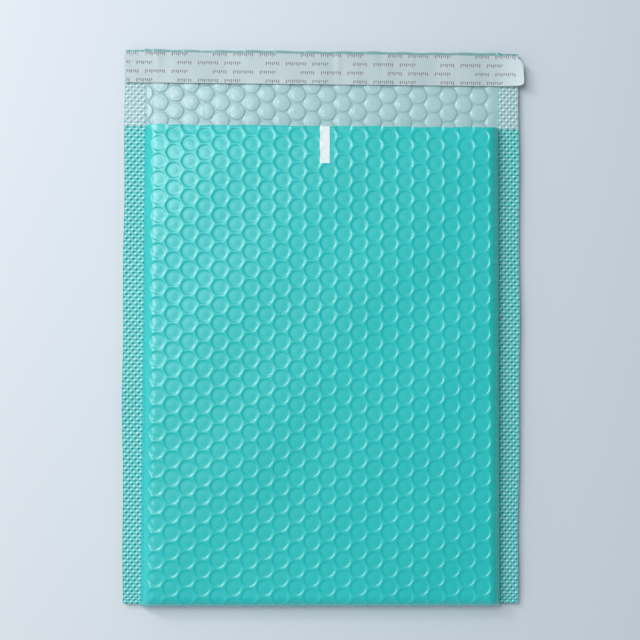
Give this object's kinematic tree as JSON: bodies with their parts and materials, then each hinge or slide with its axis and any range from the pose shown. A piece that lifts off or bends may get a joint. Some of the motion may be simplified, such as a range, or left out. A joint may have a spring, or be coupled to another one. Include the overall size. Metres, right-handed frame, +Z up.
{
  "type": "bubble mailer",
  "caption": "Padded mailing bag of teal film with a bubble lining, welded side seals and an open flap with a peel-off adhesive strip.",
  "frame": {"origin": "under the middle of the bag, on the surface that its back rests on", "axes": "+X across the bag to the end of the liner that stands out, +Y along the bag from the bottom fold to the flap, +Z up out of the front panel"},
  "size_m": [0.2525, 0.35, 0.0155],
  "materials": {
    "teal_film": "satin",
    "clear_bubble_film": "gloss",
    "hot_melt": "satin",
    "release_film": "satin",
    "white_ink": "matt"
  },
  "bodies": {
    "root": {"outer_film": "teal_film", "bubble_lining": "clear_bubble_film", "adhesive_strip": "hot_melt", "release_liner": "release_film", "eye_mark": "white_ink"}
  },
  "joints": []
}
